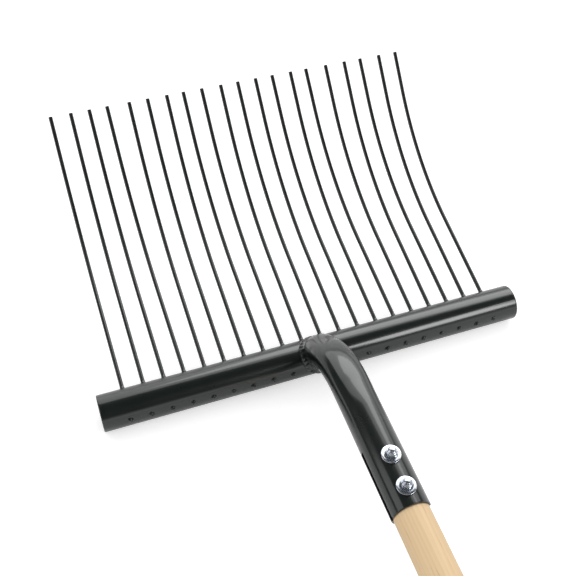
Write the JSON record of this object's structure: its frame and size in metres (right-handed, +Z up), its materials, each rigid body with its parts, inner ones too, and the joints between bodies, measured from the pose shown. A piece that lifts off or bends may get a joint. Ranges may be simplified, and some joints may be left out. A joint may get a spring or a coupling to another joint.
{
  "type": "stable fork",
  "caption": "Fork for mucking out stables: a row of round steel tines through a head tube, a bent socket tube welded on it, and a wooden handle bolted in.",
  "frame": {"origin": "on the floor under the middle of the whole fork's box, with the fork lying on its head tube and the end of its handle", "axes": "+X along the head tube to the right, +Y from the handle towards the tips of the tines, +Z up, which is the hollow side of the tines"},
  "size_m": [0.433, 1.6808, 0.1542],
  "materials": {
    "black_paint": "gloss black paint over steel",
    "zinc": "bright zinc plate",
    "nylon": "pale blue nylon",
    "handle_wood": "pale ash, sanded and thinly oiled"
  },
  "bodies": {
    "root": {"head_tube": "black_paint", "tine_welds": "black_paint", "socket": "black_paint", "socket_weld": "black_paint", "handle": "handle_wood", "tine_01": "black_paint", "tine_02": "black_paint", "tine_03": "black_paint", "tine_04": "black_paint", "tine_05": "black_paint", "tine_06": "black_paint", "tine_07": "black_paint", "tine_08": "black_paint", "tine_09": "black_paint", "tine_10": "black_paint", "tine_11": "black_paint", "tine_12": "black_paint", "tine_13": "black_paint", "tine_14": "black_paint", "tine_15": "black_paint", "tine_16": "black_paint", "tine_17": "black_paint", "tine_18": "black_paint", "tine_19": "black_paint", "tine_20": "black_paint", "clamp_bolt_1": "zinc", "washer_1": "zinc", "lock_nut_1": "zinc", "nylon_ring_1": "nylon", "clamp_bolt_2": "zinc", "washer_2": "zinc", "lock_nut_2": "zinc", "nylon_ring_2": "nylon"}
  },
  "joints": []
}
